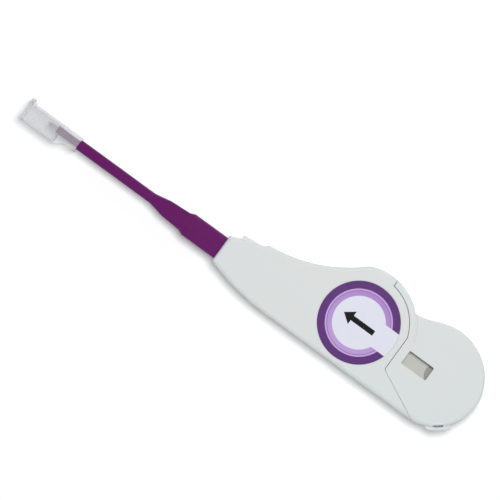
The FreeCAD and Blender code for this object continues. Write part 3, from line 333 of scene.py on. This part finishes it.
def moulded_acetal(settings):
    """Acetal, moulded: dense natural white with the slight waxy gloss of a bearing plastic."""
    material, tree, output, place = new_material("moulded_acetal")
    darker = settings.acetal * 0.94
    colour = clouded(tree, place, settings.acetal, darker, size=3 * MM)
    finish_material(tree, output, add_node(tree, "ShaderNodeBsdfPrincipled", {
        "Base Color": colour, "IOR": 1.48, "Roughness": 0.34,
        "Normal": grained(tree, place, size=0.8 * MM, depth=0.003 * MM,
                          edge=settings.edge / 2)}))
    return material


def filled_nylon(settings):
    """Glass-filled nylon, moulded: a cool grey with a dry, slightly mottled skin."""
    material, tree, output, place = new_material("glass_filled_nylon")
    darker = settings.carrier * 0.85
    colour = clouded(tree, place, settings.carrier, darker, size=1.1 * MM, detail=6.0)
    finish_material(tree, output, add_node(tree, "ShaderNodeBsdfPrincipled", {
        "Base Color": colour, "IOR": 1.53, "Roughness": 0.55,
        "Normal": grained(tree, place, size=0.4 * MM, depth=0.01 * MM,
                          edge=settings.edge / 2)}))
    return material


def moulded_polystyrene(settings):
    """Polystyrene, moulded: the warm grey of the reels, smooth and a little glossy."""
    material, tree, output, place = new_material("moulded_polystyrene")
    darker = settings.reel * 0.95
    colour = clouded(tree, place, settings.reel, darker, size=6 * MM)
    finish_material(tree, output, add_node(tree, "ShaderNodeBsdfPrincipled", {
        "Base Color": colour, "IOR": 1.59, "Roughness": 0.38,
        "Normal": grained(tree, place, size=1.0 * MM, depth=0.004 * MM,
                          edge=settings.edge / 2)}))
    return material


def drawn_spring_wire(settings):
    """Carbon steel wire, drawn through dies: bright grey, with a gloss that wavers along the wire
    and breaks up its highlights."""
    material, tree, output, place = new_material("drawn_spring_wire")
    finish_material(tree, output, add_node(tree, "ShaderNodeBsdfPrincipled", {
        "Base Color": opaque(settings.steel), "Metallic": 1.0,
        "Roughness": uneven(tree, place, size=0.2 * MM, low=0.22, high=0.36)}))
    return material


def laminated_film(name, colour_of):
    """Printed polyester film under a clear gloss laminate: flat ink, with a shallow orange peel
    in its reflections from the adhesive below."""
    material, tree, output, place = new_material(name)
    peel = add_node(tree, "ShaderNodeTexNoise", {"Vector": place, "Scale": 1 / (2.2 * MM)})
    bump = add_node(tree, "ShaderNodeBump", {"Height": peel.outputs["Fac"],
                                             "Distance": 0.006 * MM})
    finish_material(tree, output, add_node(tree, "ShaderNodeBsdfPrincipled", {
        "Base Color": colour_of(tree, place), "IOR": 1.5, "Roughness": 0.18,
        "Normal": bump.outputs["Normal"]}))
    return material


def woven_microfibre(name, colour, centre, settings):
    """Polyester microfibre woven into a thin tape: the small bumps of crossed threads on its
    faces, and on the side of a reel the edges of its turns as faint rings. Threads of 0.02 mm
    and turns of 0.1 mm would be too fine to show, so both are drawn further apart."""
    material, tree, output, place = new_material(name)
    around = add_node(tree, "ShaderNodeMapping", {"Vector": place, "Location": -Vector(centre)})
    rings = add_node(tree, "ShaderNodeTexWave", {
        "Vector": around.outputs["Vector"], "Scale": math.pi / (10 * settings.winding),
        "Distortion": 0.4, "Detail": 2.0}, wave_type="RINGS", rings_direction="Z")
    darker = colour * 0.86
    shade = add_node(tree, "ShaderNodeMix", {0: rings.outputs["Fac"], 6: opaque(darker),
                                             7: opaque(colour)}, data_type="RGBA")
    weave = add_node(tree, "ShaderNodeTexVoronoi", {"Vector": place,
                                                    "Scale": 1 / settings.thread})
    bump = add_node(tree, "ShaderNodeBump", {"Height": weave.outputs["Distance"],
                                             "Distance": 0.03 * MM, "Strength": 0.6})
    finish_material(tree, output, add_node(tree, "ShaderNodeBsdfPrincipled", {
        "Base Color": shade.outputs[2], "IOR": 1.54, "Roughness": 0.85, "Sheen Weight": 0.3,
        "Sheen Roughness": 0.5, "Normal": bump.outputs["Normal"]}))
    return material


def sweep_paper(settings):
    """Matt background paper: an even pale floor. What the eye sees of it is lifted towards white,
    in mirrors and through clear plastic too, and it keeps every shadow."""
    material, tree, output, place = new_material("sweep_paper")
    darker = settings.floor * 0.985
    colour = clouded(tree, place, settings.floor, darker, size=400 * MM)
    paper = add_node(tree, "ShaderNodeBsdfDiffuse", {"Color": colour})
    ray = add_node(tree, "ShaderNodeLightPath").outputs
    seen = add_node(tree, "ShaderNodeMath", {0: ray["Is Camera Ray"], 1: ray["Is Glossy Ray"]},
                    operation="MAXIMUM")
    seen = add_node(tree, "ShaderNodeMath", {0: seen.outputs[0], 1: ray["Is Transmission Ray"]},
                    operation="MAXIMUM")
    strength = add_node(tree, "ShaderNodeMath", {0: seen.outputs[0], 1: settings.floor_lift},
                        operation="MULTIPLY")
    lift = add_node(tree, "ShaderNodeEmission", {"Strength": strength.outputs[0]})
    finish_material(tree, output, add_node(tree, "ShaderNodeAddShader", {
        0: paper.outputs[0], 1: lift.outputs[0]}))
    return material


# ---------------------------------------------------------------- the round label

def direction_mark():
    """Outline of a plain arrow that points along the nozzle, in millimetres."""
    head_x, neck_x, tail_x = -8.2, -3.6, 8.2
    head_half, shaft_half = 3.4, 1.25
    return [Vector((head_x, 0)), Vector((neck_x, head_half)), Vector((neck_x, shaft_half)),
            Vector((tail_x, shaft_half)), Vector((tail_x, -shaft_half)),
            Vector((neck_x, -shaft_half)), Vector((neck_x, -head_half))]


def in_outline(place, outline):
    """True if a point lies inside a closed outline."""
    inside = False
    for start, end in zip(outline, outline[1:] + outline[:1]):
        if (start.y > place.y) != (end.y > place.y):
            cross = start.x + (place.y - start.y) / (end.y - start.y) * (end.x - start.x)
            inside ^= place.x < cross
    return inside


def label_mesh(settings):
    """The label's disc, cut along the edges of its printed zones. Each face wears its zone.
    Places on the label are measured from its middle, which lies on the frame's Z axis."""
    low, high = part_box("round_label")
    centre = (low + high) / 2
    rim = (high.x - low.x) / 2
    ring = rim - settings.ring_width
    line = ring - settings.line_width
    hairline = line - settings.hairline_width
    turned = 0.06 * MM      # how far the die turns down the rim's edge
    profile = [(rim, low.z), (rim, high.z - turned), (rim - turned, high.z), (ring, high.z),
               (line, high.z), (hairline, high.z), (settings.centre, high.z)]

    bm = bmesh.new()
    start = [bm.verts.new((centre.x + r, centre.y, z)) for r, z in profile]
    edges = [bm.edges.new(pair) for pair in zip(start, start[1:])]
    bmesh.ops.spin(bm, geom=start + edges, cent=centre, axis=(0, 0, 1), angle=2 * math.pi,
                   steps=settings.steps, use_merge=True)
    bmesh.ops.holes_fill(bm, edges=[edge for edge in bm.edges if edge.is_boundary],
                         sides=settings.steps)

    def cut(place, across):
        """Cuts the disc by the plane through a place, square to the direction across."""
        everything = bm.verts[:] + bm.edges[:] + bm.faces[:]
        bmesh.ops.bisect_plane(bm, geom=everything, dist=TOUCHING, plane_co=place,
                               plane_no=across)

    cut((0, settings.strip_low, 0), (0, 1, 0))
    cut((0, settings.strip_high, 0), (0, 1, 0))
    cut((0, 0, 0), (1, 0, 0))
    mark = [corner * MM for corner in direction_mark()]
    for first, last in zip(mark, mark[1:] + mark[:1]):
        along = last - first
        cut((first.x, first.y, 0), (-along.y, along.x, 0))

    bmesh.ops.recalc_face_normals(bm, faces=bm.faces)
    for face in bm.faces:
        place = (face.calc_center_median() - centre).to_2d()
        strip = place.x > 0 and settings.strip_low < place.y < settings.strip_high
        if in_outline(place, mark):
            face.material_index = MARK
        elif strip or place.length < settings.centre:
            face.material_index = GROUND
        elif place.length > ring:
            face.material_index = RING
        elif place.length > line:
            face.material_index = LINE
        elif place.length > hairline:
            face.material_index = HAIRLINE
        else:
            face.material_index = BAND
    mesh = bpy.data.meshes.new("printed_label")
    bm.to_mesh(mesh)
    bm.free()
    return mesh


def label_inks(settings):
    """The label's materials, in the order of its zones."""
    def plain(colour):
        """An even ink, with hardly a cloud in it."""
        return lambda tree, place: clouded(tree, place, colour, colour * 0.95, size=5 * MM)

    def fading(tree, place):
        """The band's ink, which runs out across the label."""
        across = add_node(tree, "ShaderNodeSeparateXYZ", {0: place}).outputs["Y"]
        part = add_node(tree, "ShaderNodeMapRange", {
            "Value": across, "From Min": -settings.centre, "From Max": settings.centre})
        return add_node(tree, "ShaderNodeMix", {
            0: part.outputs["Result"], 6: opaque(settings.band_pale),
            7: opaque(settings.band)}, data_type="RGBA").outputs[2]

    return [laminated_film("film_ring_ink", plain(settings.ring)),
            laminated_film("film_line_ink", plain(settings.line)),
            laminated_film("film_hairline_ink", plain(settings.hairline)),
            laminated_film("film_ground", plain(settings.paper)),
            laminated_film("film_mark_ink", plain(settings.mark)),
            laminated_film("film_band_ink", fading)]


# ---------------------------------------------------------------- wire springs

def spring_mesh(name, node, wire_r, turns):
    """A coil of round wire in the room of a node, with its end turns wound close."""
    low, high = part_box(node)
    middle = (low + high) / 2
    radius = (high.y - low.y) / 2 - wire_r
    first, last = low.x + wire_r, high.x - wire_r
    close = CLOSED_TURNS * 2 * wire_r
    curve = bpy.data.curves.new(name, "CURVE")
    curve.dimensions = "3D"
    curve.bevel_depth = wire_r
    curve.bevel_resolution = 3
    curve.use_fill_caps = True
    spline = curve.splines.new("POLY")
    steps = turns * TURN_STEPS
    spline.points.add(steps)
    for i, spot in enumerate(spline.points):
        turn = turns * i / steps
        if turn < CLOSED_TURNS:
            x = first + close * turn / CLOSED_TURNS
        elif turn > turns - CLOSED_TURNS:
            x = last - close * (turns - turn) / CLOSED_TURNS
        else:
            share = (turn - CLOSED_TURNS) / (turns - 2 * CLOSED_TURNS)
            x = first + close + (last - first - 2 * close) * share
        angle = 2 * math.pi * turn
        spot.co = (x, middle.y + radius * math.cos(angle),
                   middle.z + radius * math.sin(angle), 1)
    holder = bpy.data.objects.new(name, curve)
    mesh = bpy.data.meshes.new_from_object(holder)
    bpy.data.objects.remove(holder)
    mesh.name = name
    for face in mesh.polygons:
        face.use_smooth = True
    return mesh


def shorten(piece):
    """Gives a spring or a tape a mesh of its own."""
    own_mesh(piece)


# ---------------------------------------------------------------- operators

class CLEANER_OT_case(bpy.types.Operator):
    """Dress the shells of the case in textured plastic"""
    bl_idname = "cleaner.case"
    bl_label = "Case shells"

    def execute(self, context):
        dress(spark_textured_abs(context.scene.cleaner_mouldings), "case_base", "front_cover",
              "rear_cover")
        return {"FINISHED"}


class CLEANER_OT_label(bpy.types.Operator):
    """Lay the printed film label on the front cover"""
    bl_idname = "cleaner.label"
    bl_label = "Round label"

    def execute(self, context):
        settings = context.scene.cleaner_label
        mesh = label_mesh(settings)
        for ink in label_inks(settings):
            mesh.materials.append(ink)
        piece = new_piece("printed_label", mesh, "case")
        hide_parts("round_label")
        return {"FINISHED"}


class CLEANER_OT_nozzle(bpy.types.Operator):
    """Dress the nozzle in glossy purple plastic"""
    bl_idname = "cleaner.nozzle"
    bl_label = "Nozzle"

    def execute(self, context):
        dress(gloss_moulded_abs(context.scene.cleaner_mouldings), "nozzle_lower_half",
              "nozzle_upper_half")
        return {"FINISHED"}


class CLEANER_OT_cap(bpy.types.Operator):
    """Dress the dust cap, its lid and its hinge pin"""
    bl_idname = "cleaner.cap"
    bl_label = "Dust cap"

    def execute(self, context):
        settings = context.scene.cleaner_mouldings
        dress(natural_polypropylene("natural_polypropylene", settings), "guide_cap")
        dress(natural_polypropylene("thin_polypropylene", settings, settings.lid_cover),
              "cap_lid")
        dress(moulded_acetal(settings), "cap_hinge_pin")
        return {"FINISHED"}


class CLEANER_OT_drive(bpy.types.Operator):
    """Dress the gear, the pawl, the rollers, the carrier and the head"""
    bl_idname = "cleaner.drive"
    bl_label = "Drive"

    def execute(self, context):
        settings = context.scene.cleaner_mouldings
        dress(moulded_acetal(settings), "drive_gear", "stop_pawl", "low_guide_roller",
              "near_guide_roller")
        dress(filled_nylon(settings), "slide_carrier", "tip_head", "tape_divider")
        return {"FINISHED"}


class CLEANER_OT_reels(bpy.types.Operator):
    """Dress the two tape reels"""
    bl_idname = "cleaner.reels"
    bl_label = "Reels"

    def execute(self, context):
        dress(moulded_polystyrene(context.scene.cleaner_mouldings), "take_up_reel",
              "supply_reel")
        return {"FINISHED"}


class CLEANER_OT_tape(bpy.types.Operator):
    """Dress the cleaning tape, and copy its run in the nozzle to a piece that rides on the nozzle
    """
    bl_idname = "cleaner.tape"
    bl_label = "Cleaning tape"

    def execute(self, context):
        settings = context.scene.cleaner_tape
        low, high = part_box("supply_tape")
        dress(woven_microfibre("fresh_microfibre", settings.clean, (low + high) / 2, settings),
              "supply_tape", "feed_strand", "nozzle_tape", "tip_tape")
        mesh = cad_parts["nozzle_tape"].data.copy()
        piece = new_piece("nozzle_tape_run", mesh, "nozzle")
        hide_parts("nozzle_tape")
        shorten(piece)
        low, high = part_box("take_up_tape")
        dress(woven_microfibre("used_microfibre", settings.used, (low + high) / 2, settings),
              "take_up_tape", "return_strand")
        return {"FINISHED"}


class CLEANER_OT_springs(bpy.types.Operator):
    """Wind the return spring and the spring behind the head from round wire"""
    bl_idname = "cleaner.springs"
    bl_label = "Springs"

    def execute(self, context):
        steel = drawn_spring_wire(context.scene.cleaner_mouldings)
        for name, node, body, joint, wire_r, turns in SPRINGS:
            mesh = spring_mesh(name, node, wire_r, turns)
            mesh.materials.append(steel)
            piece = new_piece(name, mesh, body)
            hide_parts(node)
            shorten(piece)
        return {"FINISHED"}


class CLEANER_OT_stage(bpy.types.Operator):
    """Set the floor, the lamps and the camera"""
    bl_idname = "cleaner.stage"
    bl_label = "Studio"

    def execute(self, context):
        settings = context.scene.cleaner_studio
        middle = (Vector(cad_low) + Vector(cad_high)) / 2
        aim = Vector((middle.x + settings.aim_x, middle.y + settings.aim_y, cad_high[2]))
        self.lay_floor(context, settings, middle)
        self.light(context, settings, aim)
        self.place_camera(context, settings, aim)
        context.scene.view_settings.view_transform = "Standard"
        return {"FINISHED"}

    def lay_floor(self, context, settings, middle):
        """A square of background paper under the tool."""
        mesh = bpy.data.meshes.new("floor")
        bm = bmesh.new()
        bmesh.ops.create_grid(bm, x_segments=4, y_segments=4, size=FLOOR_HALF)
        bm.to_mesh(mesh)
        bm.free()
        mesh.materials.append(sweep_paper(settings))
        floor = bpy.data.objects.new("floor", mesh)
        floor.location = (middle.x, middle.y, cad_low[2])
        context.scene.collection.objects.link(floor)

    def light(self, context, settings, aim):
        """Soft air, brighter at the walls than above, a wide lamp overhead and a low one. The
        overhead lamp stays out of reflections, where it would lie as a white patch on the flat
        upper faces."""
        world = bpy.data.worlds.new("studio_air")
        world.use_nodes = True
        tree = world.node_tree
        way = add_node(tree, "ShaderNodeTexCoord").outputs["Generated"]
        height = add_node(tree, "ShaderNodeSeparateXYZ", {0: way}).outputs["Z"]
        strength = add_node(tree, "ShaderNodeMapRange", {
            "Value": height, "To Min": settings.sky_low, "To Max": settings.sky_high})
        tree.links.new(strength.outputs["Result"], tree.nodes["Background"].inputs["Strength"])
        tree.nodes["Background"].inputs["Color"].default_value = opaque(settings.air)
        context.scene.world = world
        for name, place, size, power, mirrored in (
                ("key_lamp", KEY_PLACE, settings.key_size, settings.key_power, False),
                ("rim_lamp", RIM_PLACE, RIM_SIZE, settings.rim_power, True)):
            lamp = bpy.data.lights.new(name, "AREA")
            lamp.shape = "DISK"
            lamp.size = size
            lamp.energy = power
            holder = bpy.data.objects.new(name, lamp)
            holder.visible_glossy = mirrored
            holder.location = aim + Vector(place)
            holder.rotation_euler = (aim - holder.location).to_track_quat("-Z", "Y").to_euler()
            context.scene.collection.objects.link(holder)

    def place_camera(self, context, settings, aim):
        """A long lens that looks straight down at the upper face."""
        camera = bpy.data.cameras.new("camera")
        camera.lens = settings.lens
        camera.clip_start = 0.01
        distance = settings.field * settings.lens / camera.sensor_width
        holder = bpy.data.objects.new("camera", camera)
        holder.location = aim + Vector((0, 0, distance))
        holder.rotation_euler = (0, 0, settings.heading)
        context.scene.collection.objects.link(holder)
        context.scene.camera = holder


class CLEANER_PT_sidebar(bpy.types.Panel):
    """Settings and steps of the cleaner"""
    bl_idname = "CLEANER_PT_sidebar"
    bl_label = "Fibre connector cleaner"
    bl_space_type = "VIEW_3D"
    bl_region_type = "UI"
    bl_category = "Cleaner"

    def draw(self, context):
        for name, group in GROUPS.items():
            box = self.layout.box()
            box.label(text=group.__doc__)
            for setting in group.__annotations__:
                box.prop(getattr(context.scene, name), setting)
        for step in STEPS:
            self.layout.operator(step.bl_idname)


GROUPS = {"cleaner_mouldings": CleanerMouldings, "cleaner_label": CleanerLabel,
          "cleaner_tape": CleanerTape, "cleaner_studio": CleanerStudio}
STEPS = (CLEANER_OT_case, CLEANER_OT_label, CLEANER_OT_nozzle, CLEANER_OT_cap, CLEANER_OT_drive,
         CLEANER_OT_reels, CLEANER_OT_tape, CLEANER_OT_springs, CLEANER_OT_stage)


def register():
    """Makes the settings, the steps and the sidebar known."""
    for part in (*GROUPS.values(), *STEPS, CLEANER_PT_sidebar):
        bpy.utils.register_class(part)
    for name, group in GROUPS.items():
        setattr(bpy.types.Scene, name, PointerProperty(type=group))


def unregister():
    """Takes back what register made."""
    for name in GROUPS:
        delattr(bpy.types.Scene, name)
    for part in (CLEANER_PT_sidebar, *reversed(STEPS), *reversed(GROUPS.values())):
        bpy.utils.unregister_class(part)


def main():
    """Runs every step on the frame."""
    register()
    for step in STEPS:
        operator = getattr(bpy.ops.cleaner, step.bl_idname.split(".")[1])
        operator()


if __name__ == "__main__":
    main()
